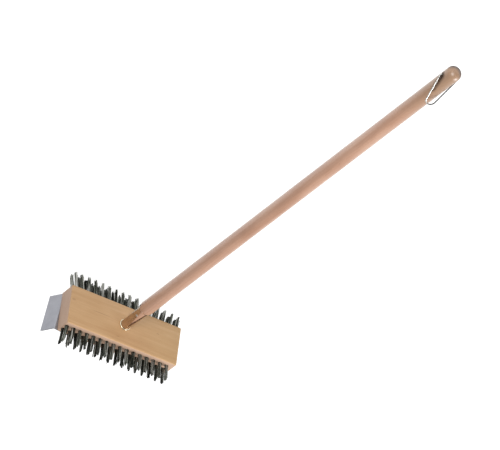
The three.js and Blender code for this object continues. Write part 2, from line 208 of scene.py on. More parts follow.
# Scraper: its flange is let into the block's back, a little out of square with the block's end
SCRAPER_WIDTH = 72 * MM
SCRAPER_THICKNESS = 1.6 * MM
SCRAPER_FLANGE = 26 * MM
SCRAPER_BLADE = 26.4 * MM
SCRAPER_BEND = math.radians(65)
SCRAPER_BEND_RADIUS = 2 * MM
SCRAPER_EDGE = 0.5 * MM
SCRAPER_BEVEL = 4 * MM
SCRAPER_SKEW = math.radians(-6.9)
SCRAPER_BEND_STEPS = 8
SCRAPER_EASE = 0.25 * MM
SCRAPER_EASE_STEPS = 2
SCRAPER_EASE_ANGLE = 40
SCREW_NUMBERS = (1, 2, 3)
SCREW_TURNS = (20, 75, -35)
SCREW_SHANK_RADIUS = 1.9 * MM
SCREW_POINT = 5 * MM
SCREW_SIDES = 32
SCREW_HEAD_STEPS = 6
SCREW_SLOT = (12 * MM, 2.4 * MM, 1 * MM)

# Tufts: two rows on each long side. LEANS gives a side's lean towards +X, in degrees, at the head's -X end
# and its +X end, and the power of the share of the way along that it follows. LENGTHS gives the tufts'
# lengths at those ends. A tuft's tip is given as its width over its root's width, and the
# splayed one is at the lower side's -X end.
TUFT_PITCH = 13 * MM
TUFTS_IN_ROW = 16
TUFTS_PER_STRIP = 4
TUFT_OFFSET = -3.8 * MM
TUFT_ROOT_RADIUS = 3.2 * MM
TUFT_TIP_ALONG = 0.38
TUFT_TIP_ACROSS = 1.2
TUFT_SPLAYED_TIP_ALONG = 1.3
ROWS = ("outer", "inner")
LEANS = {"upper": (-8, 5, 0.5), "lower": (-10, 9, 2)}
LENGTHS = {"upper": (32 * MM, 29.2 * MM), "lower": (34.5 * MM, 27.5 * MM)}
STRIPS_PER_TUFT = 30
STRIP_HALF_WIDTH = 0.62 * MM
STRIP_HALF_THICKNESS = 0.2 * MM
STRIP_STEPS = 5
TUFT_SHARP_ANGLE = 50

# How the wires of a tuft differ: the points they are drawn towards, how far they drift and bow (in
# millimetres), and how much shorter the outer ones and any one of them may be
TUFT_POINTS = 3
WIRE_DRIFT = 0.6
WIRE_BOW = 0.3
OUTER_SHORTENING = 0.34
WIRE_SHORTENING = 0.04

# Camera
AZIMUTH = math.radians(208)
ELEVATION = math.radians(31.5)
ROLL = math.radians(187.05)
DISTANCE = 8.5
LENS = 363.8
AIM_RIGHT = 0.2103
AIM_UP = 0.1682
CLIP_END = 100

# Light: name, place, width and power
LIGHT_TARGET = Vector((0, 0.4, 0))
LIGHTS = (
    ("key", (2.6, 0.2, 2.5), 2.2, 120),
    ("fill", (-1.6, 3.0, 1.6), 1.8, 65),
)
WORLD_STRENGTH = 0.5
FLOOR_HALF = 40
FLOOR_DROP = 0.2 * MM
FLOOR_GLOW = 0.95


# --- Mesh helpers -----------------------------------------------------------------------------------


def make_object(name, vertices, faces, sharp_angle=SHARP_ANGLE):
    mesh = bpy.data.meshes.new(name)
    mesh.from_pydata([tuple(v) for v in vertices], [], faces)
    mesh.validate()
    finish_mesh(mesh, sharp_angle)
    obj = bpy.data.objects.new(name, mesh)
    bpy.context.scene.collection.objects.link(obj)
    return obj


def finish_mesh(mesh, sharp_angle=SHARP_ANGLE):
    """Faces out, smooth shading, with edges over the angle kept sharp."""
    work = bmesh.new()
    work.from_mesh(mesh)
    bmesh.ops.remove_doubles(work, verts=work.verts, dist=MERGE_DISTANCE)
    bmesh.ops.recalc_face_normals(work, faces=work.faces)
    work.to_mesh(mesh)
    work.free()
    mesh.shade_smooth()
    mesh.set_sharp_from_angle(angle=math.radians(sharp_angle))


def lathe(name, profile, sides, closed=False):
    """A body turned about Y from (radius, y) points, which start and end on the axis unless it is a ring."""
    vertices, rings, faces = [], [], []
    for radius, y in profile:
        if radius < AXIS_RADIUS:
            rings.append([len(vertices)])
            vertices.append((0, y, 0))
            continue
        ring = []
        for i in range(sides):
            angle = 2 * math.pi * i / sides
            ring.append(len(vertices))
            vertices.append((radius * math.cos(angle), y, radius * math.sin(angle)))
        rings.append(ring)
    following = rings[1:] + rings[:1] if closed else rings[1:]
    for low, high in zip(rings, following):
        faces += ring_faces(low, high)
    return make_object(name, vertices, faces)


def ring_faces(low, high):
    """Faces between two closed rings, either of which may be a single point."""
    count = max(len(low), len(high))
    faces = []
    for i in range(count):
        j = (i + 1) % count
        a, b = low[i % len(low)], low[j % len(low)]
        c, d = high[j % len(high)], high[i % len(high)]
        corners = [a, b, c, d]
        faces.append([v for k, v in enumerate(corners) if v not in corners[:k]])
    return faces


def sweep(points, radii, sides, vertices, faces):
    """Adds a closed round tube along the points to the lists, its section carried along without twist."""
    tangent = (points[1] - points[0]).normalized()
    side = tangent.orthogonal().normalized()
    rings = []
    for i, point in enumerate(points):
        ahead = points[min(i + 1, len(points) - 1)] - points[max(i - 1, 0)]
        side = ahead.normalized().rotation_difference(tangent).inverted() @ side
        tangent = ahead.normalized()
        other = tangent.cross(side)
        ring = []
        for k in range(sides):
            angle = 2 * math.pi * k / sides
            ring.append(len(vertices))
            vertices.append(point + radii[i] * (math.cos(angle) * side + math.sin(angle) * other))
        rings.append(ring)
    for low, high in zip(rings, rings[1:]):
        faces += ring_faces(low, high)
    faces += [rings[0][::-1], rings[-1]]


def apply_modifiers(obj):
    depsgraph = bpy.context.evaluated_depsgraph_get()
    made = bpy.data.meshes.new_from_object(obj.evaluated_get(depsgraph))
    obj.modifiers.clear()
    obj.data = made
    return obj


def cut(obj, cutters, sharp_angle=SHARP_ANGLE):
    """Takes the cutters away from obj and deletes them."""
    for cutter in cutters:
        modifier = obj.modifiers.new("cut", "BOOLEAN")
        modifier.operation = "DIFFERENCE"
        modifier.solver = "EXACT"
        modifier.object = cutter
    bpy.context.view_layer.update()
    apply_modifiers(obj)
    for cutter in cutters:
        bpy.data.objects.remove(cutter)
    finish_mesh(obj.data, sharp_angle)
    return obj


def bevel(obj, width, segments, angle=EASE_ANGLE):
    modifier = obj.modifiers.new("ease", "BEVEL")
    modifier.width = width
    modifier.segments = segments
    modifier.limit_method = "ANGLE"
    modifier.angle_limit = math.radians(angle)
    bpy.context.view_layer.update()
    apply_modifiers(obj)
    finish_mesh(obj.data)
    return obj


def pegs(name, places, sides=24):
    """One cutter mesh of round pegs, each (start, end, start radius, end radius)."""
    vertices, faces = [], []
    for start, end, start_radius, end_radius in places:
        sweep([Vector(start), Vector(end)], [start_radius, end_radius], sides, vertices, faces)
    return make_object(name, vertices, faces)


def place(obj, material, slot, body, *nodes):
    obj.data.materials.clear()
    obj.data.materials.append(material)
    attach(obj, body)
    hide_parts(*nodes)
    return obj


# --- Material helpers -------------------------------------------------------------------------------


class Nodes:
    """Short names for the nodes of one material."""

    def __init__(self, name):
        self.material = bpy.data.materials.new(name)
        self.material.use_nodes = True
        self.tree = self.material.node_tree
        self.shader = self.tree.nodes["Principled BSDF"]
        self.coords = self.tree.nodes.new("ShaderNodeTexCoord").outputs["Object"]

    def link(self, value, socket):
        if hasattr(value, "is_output"):
            self.tree.links.new(value, socket)
        else:
            socket.default_value = value

    def stretch(self, scale, location=(0, 0, 0)):
        node = self.tree.nodes.new("ShaderNodeMapping")
        self.link(self.coords, node.inputs["Vector"])
        node.inputs["Scale"].default_value = scale
        node.inputs["Location"].default_value = location
        return node.outputs["Vector"]

    def noise(self, vector, detail=3.0, rough=0.5):
        node = self.tree.nodes.new("ShaderNodeTexNoise")
        self.link(vector, node.inputs["Vector"])
        node.inputs["Scale"].default_value = 1
        node.inputs["Detail"].default_value = detail
        node.inputs["Roughness"].default_value = rough
        return node.outputs["Fac"]

    def math(self, operation, a, b):
        node = self.tree.nodes.new("ShaderNodeMath")
        node.operation = operation
        self.link(a, node.inputs[0])
        self.link(b, node.inputs[1])
        return node.outputs["Value"]

    def spread(self, value, low, high, to_low, to_high):
        node = self.tree.nodes.new("ShaderNodeMapRange")
        self.link(value, node.inputs["Value"])
        for key, number in (("From Min", low), ("From Max", high), ("To Min", to_low), ("To Max", to_high)):
            node.inputs[key].default_value = number
        return node.outputs["Result"]

    def spot(self, centre, half_size, strength):
        """A soft spot about a centre: strength inside an ellipsoid, fading to nothing at its surface."""
        scale = tuple(1 / half for half in half_size)
        location = tuple(-c * k for c, k in zip(centre, scale))
        length = self.tree.nodes.new("ShaderNodeVectorMath")
        length.operation = "LENGTH"
        self.link(self.stretch(scale, location), length.inputs[0])
        return self.spread(length.outputs["Value"], 0.4, 1, strength, 0)

    def random_per_island(self):
        return self.tree.nodes.new("ShaderNodeNewGeometry").outputs["Random Per Island"]

    def ramp(self, value, *stops):
        node = self.tree.nodes.new("ShaderNodeValToRGB")
        self.link(value, node.inputs["Fac"])
        elements = node.color_ramp.elements
        while len(elements) < len(stops):
            elements.new(0.5)
        for element, (position, colour) in zip(elements, stops):
            element.position = position
            element.color = (*colour, 1)
        return node.outputs["Color"]

    def mix(self, factor, a, b):
        node = self.tree.nodes.new("ShaderNodeMix")
        node.data_type = "RGBA"
        self.link(factor, node.inputs["Factor"])
        for value, socket in ((a, node.inputs["A"]), (b, node.inputs["B"])):
            self.link(value if hasattr(value, "is_output") else (*value, 1), socket)
        return node.outputs["Result"]

    def bump(self, height, distance):
        node = self.tree.nodes.new("ShaderNodeBump")
        node.inputs["Strength"].default_value = BUMP_STRENGTH
        node.inputs["Distance"].default_value = distance
        self.link(height, node.inputs["Height"])
        self.link(node.outputs["Normal"], self.shader.inputs["Normal"])

    def separate(self):
        node = self.tree.nodes.new("ShaderNodeSeparateXYZ")
        self.link(self.coords, node.inputs["Vector"])
        return node.outputs

    def surface(self, **inputs):
        for key, value in inputs.items():
            self.link(value, self.shader.inputs[key.replace("_", " ").title().replace("Ior", "IOR")])
        return self.material


def wood(name, axis, colours, roughness):
    """Straight-grained wood, its grain along one axis, as its nodes, its colour and its roughness.

    The grain's scales are in waves per metre, along the grain and across it.
    """
    n = Nodes(name)
    pale, middle, dark = colours

    def grain(long_scale, cross_scale):
        return tuple(long_scale if i == "XYZ".index(axis) else cross_scale for i in range(3))

    bands = n.noise(n.stretch(grain(3, 62)), detail=3, rough=0.55)
    streaks = n.noise(n.stretch(grain(9, 330)), detail=3, rough=0.6)
    fibres = n.noise(n.stretch(grain(40, 1700)), detail=3, rough=0.6)
    clouds = n.noise(n.stretch(grain(11, 26)), detail=2)
    flecks = n.spread(n.noise(n.stretch(grain(120, 1300)), detail=1), 0.7, 0.78, 0, 1)
    tone = n.math("ADD", n.math("MULTIPLY", bands, 0.32), n.math("MULTIPLY", streaks, 0.22))
    tone = n.math("ADD", tone, n.math("MULTIPLY", fibres, 0.16))
    tone = n.math("ADD", tone, n.math("MULTIPLY", clouds, 0.3))
    colour = n.ramp(tone, (0.36, pale), (0.5, middle), (0.66, dark))
    colour = n.mix(n.math("MULTIPLY", flecks, 0.4), colour, tuple(0.5 * c for c in dark))
    height = n.math("SUBTRACT", n.math("MULTIPLY", fibres, 0.7), flecks)
    n.bump(height, 0.0001)
    rough = n.spread(fibres, 0.3, 0.7, roughness - 0.07, roughness + 0.08)
    return n, colour, rough


def block_wood():
    """Wood with pinker ends and sides, painted darker towards +X to copy the photo's brightness."""
    n, colour, rough = wood("block_wood", "X", BLOCK_COLOURS, 0.55)
    along, through = n.separate()["X"], n.separate()["Y"]
    front = n.spread(through, BLOCK_HIGH.y - 2.5 * MM, BLOCK_HIGH.y - 0.5 * MM, 0, 1)
    back = n.spread(through, BLOCK_LOW.y + 0.5 * MM, BLOCK_LOW.y + 2.5 * MM, 1, 0)
    wide_faces = n.math("MAXIMUM", front, back)
    colour = n.mix(n.spread(along, 20 * MM, BLOCK_HIGH.x, 0, 0.4), colour, BLOCK_FAR_COLOUR)
    colour = n.mix(wide_faces, n.mix(0.6, colour, BLOCK_SIDE_COLOUR), colour)
    for x, z, half_length, half_width, strength in BLOCK_MARKS:
        mark = n.spot((x, BLOCK_HIGH.y, z), (half_length, MARK_DEPTH, half_width), strength)
        colour = n.mix(mark, colour, MARK_COLOUR)
    return n.surface(base_color=colour, roughness=rough, specular_ior_level=0.35)


def handle_wood():
    """Wood with a darker grip, a painted shadow of the bail by the cross hole and painted shade on the dome.

    The painted shadow and shade are placed for one view. They are fixed to the handle.
    """
    n, colour, rough = wood("handle_wood", "Y", HANDLE_COLOURS, 0.46)
    along = n.separate()["Y"]
    grip = n.spread(along, HANDLE_HIGH.y - GRIP_FADE_START, HANDLE_HIGH.y - GRIP_FADE_END, 0, GRIP_STRENGTH)
    colour = n.mix(grip, colour, GRIP_COLOUR)
    # Painted shadow of the bail's near leg: soft spots in a chain from the cross hole.
    painted_shade = 0.0
    for i in range(GRIP_SHADOW_STEPS):
        share = i / (GRIP_SHADOW_STEPS - 1)
        values = [start + (end - start) * share for start, end in zip(GRIP_SHADOW_START, GRIP_SHADOW_END)]
        angle, y, half_length, half_width, strength = values
        mark = PIVOT + nail_axis(math.radians(angle)) * HANDLE_RADIUS + Vector((0, y, 0))
        painted_shade = n.math("MAXIMUM", painted_shade, n.spot(mark, (half_width, half_length, half_width), strength))
    # Noise varies the painted shadow's strength.
    shade_breakup = n.noise(n.stretch((700, 120, 700)), detail=3)
    painted_shade = n.math("MULTIPLY", painted_shade, n.spread(shade_breakup, 0.3, 0.6, 0.7, 1))
    colour = n.mix(painted_shade, colour, GRIP_SHADOW_COLOUR)
    dome_centre = Vector((0, HANDLE_HIGH.y - DOME_LENGTH, 0))
    # Painted shade: gray spots on the dome.
    for direction in DOME_SHADE:
        middle = dome_centre + HANDLE_RADIUS * Vector(direction)
        shade = n.spot(middle, (DOME_SHADE_SIZE,) * 3, DOME_SHADE_STRENGTH)
        colour = n.mix(shade, colour, DOME_SHADE_COLOUR)
        painted_shade = n.math("MAXIMUM", painted_shade, shade)
    # Coat and specular drop where shadow and shade are painted.
    shine = n.math("SUBTRACT", 1.0, painted_shade)
    specular = n.math("MULTIPLY", shine, 0.45)
    return n.surface(
        base_color=colour,
        roughness=rough,
        specular_ior_level=specular,
        coat_weight=shine,
        coat_roughness=0.35,
    )


def metal(name, base, dull, rough_low, rough_high, brush_scale, bump_depth=0.00004):
    """Metal with fine scratches, at a scale for each axis, and faint duller blotches."""
    n = Nodes(name)
    scratches = n.noise(n.stretch(brush_scale), detail=3, rough=0.7)
    blotches = n.noise(n.stretch((60, 60, 60)), detail=3, rough=0.5)
    colour = n.mix(n.spread(blotches, 0.4, 0.75, 0, 1), base, dull)
    mixed = n.math("ADD", n.math("MULTIPLY", scratches, 0.6), n.math("MULTIPLY", blotches, 0.4))
    n.bump(scratches, bump_depth)
    rough = n.spread(mixed, 0.3, 0.7, rough_low, rough_high)
    return n.surface(base_color=colour, metallic=1.0, roughness=rough)


def bail_steel():
    """Plated wire, bright on its -X leg, with a dark painted reflection on its +X leg.

    The painted reflection is fixed to the wire and doesn't change with the view.
    """
    n = Nodes("bail_steel")
    blotches = n.noise(n.stretch((90, 90, 90)), detail=3)
    # Painted reflection: the +X leg turns dark.
    far_leg = n.spread(n.separate()["X"], BAIL_DARK_REFLECTION_FROM, BAIL_DARK_REFLECTION_TO, 0, 1)
    dark = n.math("MULTIPLY", far_leg, n.spread(blotches, 0.2, 0.6, 0.8, 1))
    colour = n.mix(dark, BAIL_BRIGHT_COLOUR, BAIL_DARK_REFLECTION_COLOUR)
    n.bump(blotches, 0.00001)
    return n.surface(base_color=colour, metallic=1.0, roughness=n.spread(blotches, 0.3, 0.7, 0.22, 0.34))


def tuft_wire():
    """Dark steel wire with some rust, each wire with its own tone.

    The outer rows are paler than the inner ones as painted light, and the lower side is paler at its -X end.
    """
    n = Nodes("tuft_wire")
    black, green = (0.008, 0.009, 0.008), (0.05, 0.058, 0.045)
    gray, pale = (0.2, 0.21, 0.18), (0.5, 0.5, 0.47)
    # Painted light: the outer rows paler than the inner ones.
    outer = n.spread(n.separate()["Y"], row_y("inner"), row_y("outer"), 0, 0.2)
    end_tufts = n.spot((BLOCK_LOW.x, row_y("outer"), BLOCK_LOW.z - 16 * MM), (20 * MM, 24 * MM, 24 * MM), 0.4)
    shade = n.math("ADD", n.math("MULTIPLY", n.random_per_island(), 0.7), n.math("ADD", outer, end_tufts))
    colour = n.ramp(shade, (0.2, black), (0.4, green), (0.65, gray), (0.85, pale))
    rust = n.spread(n.noise(n.stretch((220, 220, 90)), detail=3), 0.56, 0.75, 0, 0.5)
    colour = n.mix(rust, colour, (0.09, 0.05, 0.03))
    scratches = n.noise(n.stretch((900, 900, 90)), detail=2)
    n.bump(scratches, 0.00005)
    return n.surface(base_color=colour, metallic=0.9, roughness=n.spread(scratches, 0.3, 0.7, 0.32, 0.5))


def socket_steel():
    return metal("socket_steel", (0.6, 0.47, 0.36), (0.4, 0.3, 0.22), 0.2, 0.36, (900, 60, 900))


def collar_steel():
    return metal("collar_steel", (0.85, 0.75, 0.56), (0.34, 0.25, 0.17), 0.15, 0.25, (200, 200, 200), 0.00001)


def bright_steel():
    return metal("bright_steel", (0.6, 0.59, 0.56), (0.42, 0.41, 0.38), 0.2, 0.3, (300, 300, 300), 0.00001)


def blade_steel():
    return metal("blade_steel", (0.32, 0.325, 0.355), (0.295, 0.3, 0.33), 0.4, 0.5, (60, 60, 1500))


def make_materials():
    return {
        "block": block_wood(),
        "handle": handle_wood(),
        "socket": socket_steel(),
        "collar": collar_steel(),
        "bail": bail_steel(),
        "bright": bright_steel(),
        "blade": blade_steel(),
        "wire": tuft_wire(),
    }


# --- Head block -------------------------------------------------------------------------------------


def make_box(name, size, centre):
    mesh = bpy.data.meshes.new(name)
    work = bmesh.new()
    bmesh.ops.create_cube(work, size=1)
    bmesh.ops.transform(work, matrix=Matrix.Diagonal((*size, 1)), verts=work.verts)
    bmesh.ops.translate(work, vec=centre, verts=work.verts)
    work.to_mesh(mesh)
    work.free()
    box = bpy.data.objects.new(name, mesh)
    bpy.context.scene.collection.objects.link(box)
    return box


def tuft_holes():
    holes = []
    for sign in (1, -1):
        face = sign * BLOCK_HIGH.z
        for row in ROWS:
            for x in tuft_places():
                outside = (sign * x, row_y(row), face + sign * OVERCUT)
                foot = (sign * x, row_y(row), face - sign * TUFT_HOLE_DEPTH)
                holes.append((outside, foot, TUFT_HOLE_RADIUS, TUFT_HOLE_RADIUS))
    return holes


def screw_hole(number, low_y, high_y):
    low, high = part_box(f"scraper_screw_{number}")
    x, z = (low.x + high.x) / 2, (low.z + high.z) / 2
    return ((x, low_y, z), (x, high_y, z), SCREW_HOLE_RADIUS, SCREW_HOLE_RADIUS)


def make_housing():
    """The shallow recess in the block's back that takes the scraper's flange."""
    depth = SCRAPER_THICKNESS + GAP
    size = (2 * (SCRAPER_FLANGE + GAP), 2 * depth, 2 * (BLOCK_HIGH.z - BLOCK_LOW.z))
    housing = make_box("housing", size, (0, 0, 0))
    housing.data.transform(scraper_place())
    return housing


def make_block(materials):
    block = make_box("block", BLOCK_HIGH - BLOCK_LOW, (BLOCK_HIGH + BLOCK_LOW) / 2)
    bevel(block, BLOCK_EASE, BLOCK_EASE_STEPS)
    holes = tuft_holes()
    for number in SCREW_NUMBERS:
        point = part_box(f"scraper_screw_{number}")[1].y
        holes.append(screw_hole(number, -OVERCUT, point + OVERCUT))
    bore_radius = socket_radius(BLOCK_HIGH.y) + GAP
    bore_mouth, bore_foot = (0, BLOCK_HIGH.y + OVERCUT, 0), (0, SOCKET_LOW.y - GAP, 0)
    holes.append((bore_mouth, bore_foot, bore_radius, bore_radius))
    cut(block, [make_housing(), pegs("block_holes", holes)])
    return place(block, materials["block"], "block_wood", "brush", "head_block")


# --- Handle, socket and nails -----------------------------------------------------------------------


def socket_radius(y):
    share = min(1, max(0, (y - SOCKET_LOW.y) / (SOCKET_HIGH.y - SOCKET_LOW.y)))
    return SOCKET_FOOT_RADIUS + share * (SOCKET_MOUTH_RADIUS - SOCKET_FOOT_RADIUS)


def tenon_and_shoulder():
    """The handle's profile from its foot inside the socket to its full radius."""
    clearance = SOCKET_WALL + GAP
    foot = HANDLE_LOW.y
    mouth = SOCKET_HIGH.y
    profile = [
        (0, foot),
        (SOCKET_FOOT_RADIUS - clearance - TENON_EASE, foot),
        (SOCKET_FOOT_RADIUS - clearance, foot + TENON_EASE_LENGTH),
        (SOCKET_MOUTH_RADIUS - clearance, mouth),
    ]
    for i in range(SHOULDER_STEPS + 1):
        share = i / SHOULDER_STEPS
        ease = share * share * (3 - 2 * share)
        radius = SOCKET_MOUTH_RADIUS + (HANDLE_RADIUS - SOCKET_MOUTH_RADIUS) * ease
        profile.append((radius, mouth + SHOULDER_START + share * (SHOULDER_LENGTH - SHOULDER_START)))
    return profile


def shaft_and_dome(start):
    """The handle's profile from the end of its shoulder to the tip of its dome."""
    dome_start = HANDLE_HIGH.y - DOME_LENGTH
    profile = []
    for i in range(1, SHAFT_RINGS):
        y = start + (dome_start - start) * i / SHAFT_RINGS
        wave = math.sin(y * SHAFT_SLOW_WAVE) + SHAFT_FAST_SHARE * math.sin(y * SHAFT_FAST_WAVE + 1)
        profile.append((HANDLE_RADIUS * (1 - SHAFT_WAVE_DEPTH * (1 + SHAFT_WAVE_SHARE * wave)), y))
    for i in range(DOME_STEPS):
        angle = i / DOME_STEPS * math.pi / 2
        radius = HANDLE_RADIUS * DOME_SHRINK * math.cos(angle)
        profile.append((radius, dome_start + DOME_LENGTH * math.sin(angle)))
    profile.append((0, HANDLE_HIGH.y))
    return profile


def make_handle(materials):
    profile = tenon_and_shoulder()
    profile += shaft_and_dome(profile[-1][1])
    handle = lathe("handle_shaft", profile, HANDLE_SIDES)
    reach = HANDLE_RADIUS + OVERCUT
    through = ((PIVOT.x - reach, PIVOT.y, PIVOT.z), (PIVOT.x + reach, PIVOT.y, PIVOT.z))
    hole = pegs("hole", [(*through, PIVOT_HOLE_RADIUS, PIVOT_HOLE_RADIUS)], PIVOT_HOLE_SIDES)
    cut(handle, [hole])
    return place(handle, materials["handle"], "handle_wood", "brush", "handle")


def seam_half_angle(y):
    """Half the open seam's angle at a height: almost closed below its start, then widening to the mouth."""
    if y <= SEAM_START:
        return SEAM_CLOSED_HALF_ANGLE
    share = (y - SEAM_START) / (SOCKET_HIGH.y - SEAM_START)
    return SEAM_CLOSED_HALF_ANGLE + math.asin(SEAM_HALF_MOUTH * share / socket_radius(y))


def socket_ring(y, skin):
    """The sheet's points at a height, from one side of its seam to the other, skin in from its outside."""
    half = seam_half_angle(y)
    curl_height = SEAM_CURL * (1 if y > SEAM_START else SEAM_CLOSED_CURL)
    points = []
    for k in range(SOCKET_SIDES + 1):
        share = k / SOCKET_SIDES
        angle = SEAM_ANGLE + half + share * (2 * math.pi - 2 * half)
        from_seam = min(share, 1 - share) * 2 * math.pi * SOCKET_MOUTH_RADIUS
        curl = curl_height * max(0, 1 - from_seam / SEAM_CURL_WIDTH)
        dent = SOCKET_DENT * math.sin(SOCKET_DENTS_AROUND * angle + SOCKET_DENTS_ALONG * y)
        radius = socket_radius(y) - skin + curl + dent
        points.append((radius * math.cos(angle), y, radius * math.sin(angle)))
    return points


def make_socket(materials):
    vertices = []
    for i in range(SOCKET_RINGS + 1):
        y = SOCKET_LOW.y + (SOCKET_HIGH.y - SOCKET_LOW.y) * i / SOCKET_RINGS
        vertices += socket_ring(y, 0) + socket_ring(y, SOCKET_WALL)

    def at(i, skin, k):
        return (2 * i + skin) * (SOCKET_SIDES + 1) + k

    faces = []
    for i in range(SOCKET_RINGS):
        for k in range(SOCKET_SIDES):
            faces.append([at(i, 0, k), at(i + 1, 0, k), at(i + 1, 0, k + 1), at(i, 0, k + 1)])
            faces.append([at(i, 1, k), at(i, 1, k + 1), at(i + 1, 1, k + 1), at(i + 1, 1, k)])
        for k in (0, SOCKET_SIDES):
            faces.append([at(i, 0, k), at(i, 1, k), at(i + 1, 1, k), at(i + 1, 0, k)])
    for i in (0, SOCKET_RINGS):
        for k in range(SOCKET_SIDES):
            faces.append([at(i, 0, k), at(i, 0, k + 1), at(i, 1, k + 1), at(i, 1, k)])
    socket = make_object("socket", vertices, faces, SOCKET_SHARP_ANGLE)
    nail_holes = [nail_hole(angle) for angle in NAIL_ANGLES.values()]
    cut(socket, [pegs("nail_holes", nail_holes, NAIL_HOLE_SIDES)], SOCKET_SHARP_ANGLE)
    return place(socket, materials["socket"], "socket_steel", "brush", "handle_socket")


def nail_axis(angle):
    return Vector((math.cos(angle), 0, math.sin(angle)))


def nail_hole(angle):
    low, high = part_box("socket_nail_near")
    y = (low.y + high.y) / 2
    out = nail_axis(angle)
    middle = Vector((0, y, 0))
    inside = middle + out * NAIL_HOLE_INNER
    outside = middle + out * NAIL_HOLE_OUTER
    return (inside, outside, NAIL_HOLE_RADIUS, NAIL_HOLE_RADIUS)


def make_nail(name, angle, materials):
    low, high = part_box(name)
    y = (low.y + high.y) / 2
    seat = socket_radius(y) + GAP
    profile = [
        (0, seat - NAIL_LENGTH),
        (NAIL_SHANK_RADIUS, seat - NAIL_SHANK_LENGTH),
        (NAIL_SHANK_RADIUS, seat),
        (NAIL_HEAD_RADIUS, seat),
    ]
    for i in range(NAIL_HEAD_STEPS):
        rise = i / NAIL_HEAD_STEPS * math.pi / 2
        out = seat + NAIL_HEAD_RIM + NAIL_HEAD_DOME * math.sin(rise)
        profile.append((NAIL_HEAD_RADIUS * math.cos(rise), out))
    profile.append((0, seat + NAIL_HEAD_RIM + NAIL_HEAD_DOME))
    nail = lathe(name.replace("socket_", ""), profile, NAIL_SIDES)
    turn = Vector((0, 1, 0)).rotation_difference(nail_axis(angle)).to_matrix().to_4x4()
    nail.data.transform(Matrix.Translation((0, y, 0)) @ turn)
    return place(nail, materials["bright"], "bright_steel", "brush", name)


def make_collar(materials):
    """A rolled ring with a round bead outside, fitting closely round the socket."""
    low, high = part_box("socket_collar")
    inner = socket_radius(high.y) + GAP
    bead = (high.y - low.y) / 2
    centre_radius = high.x - bead
    profile = []
    for i in range(COLLAR_BEAD_STEPS + 1):
        angle = math.radians(-90 + 180 * i / COLLAR_BEAD_STEPS)
        profile.append((centre_radius + bead * math.cos(angle), low.y + bead + bead * math.sin(angle)))
    profile.append((inner, high.y - COLLAR_LIP))
    profile.append((inner, low.y))
    collar = lathe("collar", profile, COLLAR_SIDES, closed=True)
    return place(collar, materials["collar"], "socket_steel", "brush", "socket_collar")


# --- Bail -------------------------------------------------------------------------------------------


def bail_route():
    """The wire's centre line, with the loop towards -Y and both ends turned into the cross hole."""
    arc_y = BAIL_END_RADIUS - BAIL_LENGTH
    leg = Vector((BAIL_END_RADIUS - BAIL_HALF_SPAN, arc_y, 0)).normalized()
    corner = Vector((BAIL_HALF_SPAN, 0, 0))
    before = corner - Vector((BAIL_CORNER, 0, 0))
    after = corner + leg * BAIL_CORNER
    points = [Vector((BAIL_END_GAP + i * BAIL_PIN_STEP, 0, 0)) for i in range(BAIL_PIN_POINTS)]
    for i in range(BAIL_CORNER_STEPS + 1):
        share = i / BAIL_CORNER_STEPS
        points.append(before.lerp(corner, share).lerp(corner.lerp(after, share), share))
    end = Vector((BAIL_END_RADIUS, arc_y, 0))
    points += [after.lerp(end, i / BAIL_LEG_STEPS) for i in range(1, BAIL_LEG_STEPS)]
    for i in range(BAIL_END_STEPS + 1):
        angle = i / BAIL_END_STEPS * math.pi / 2
        x = BAIL_END_RADIUS * math.cos(angle)
        points.append(Vector((x, arc_y - BAIL_END_RADIUS * math.sin(angle), 0)))
    mirrored = [Vector((-p.x, p.y, 0)) for p in reversed(points[:-1])]
    return points + mirrored


def make_bail(materials):
    points = bail_route()
    radii = [WIRE_RADIUS] * len(points)
    radii[0] = radii[-1] = BAIL_TIP * WIRE_RADIUS
    vertices, faces = [], []
    sweep(points, radii, BAIL_SIDES, vertices, faces)
    bail = make_object("bail_wire", vertices, faces, BAIL_SHARP_ANGLE)
    tilt = Matrix.Rotation(-BAIL_REST, 4, "X")
    bail.data.transform(Matrix.Translation(PIVOT) @ tilt)
    return place(bail, materials["bail"], "bright_steel", "bail", "hang_bail")


# --- Scraper and screws -----------------------------------------------------------------------------


def scraper_place():
    """Takes the plate from its own frame, with the bend along Z at the origin, to the block's end."""
    return Matrix.Translation((BLOCK_LOW.x, 0, 0)) @ Matrix.Rotation(SCRAPER_SKEW, 4, "Y")


def scraper_section():
    """The plate's outline in X and Y: a flange with its back at y = 0, a bend, and a bevelled blade."""
    outer = SCRAPER_BEND_RADIUS + SCRAPER_THICKNESS
    centre = Vector((0, -SCRAPER_BEND_RADIUS))
    along = Vector((-math.cos(SCRAPER_BEND), -math.sin(SCRAPER_BEND)))
    across = Vector((-math.sin(SCRAPER_BEND), math.cos(SCRAPER_BEND)))
    turns = [math.pi / 2 + SCRAPER_BEND * i / SCRAPER_BEND_STEPS for i in range(SCRAPER_BEND_STEPS + 1)]
    points = [Vector((SCRAPER_FLANGE, SCRAPER_THICKNESS))]
    points += [centre + outer * Vector((math.cos(a), math.sin(a))) for a in turns]
    points.append(centre + across * outer + along * SCRAPER_BLADE)
    points.append(centre + across * (outer - SCRAPER_EDGE) + along * SCRAPER_BLADE)
    points.append(centre + across * SCRAPER_BEND_RADIUS + along * (SCRAPER_BLADE - SCRAPER_BEVEL))
    points += [centre + SCRAPER_BEND_RADIUS * Vector((math.cos(a), math.sin(a))) for a in reversed(turns)]
    points.append(Vector((SCRAPER_FLANGE, 0)))
    return points


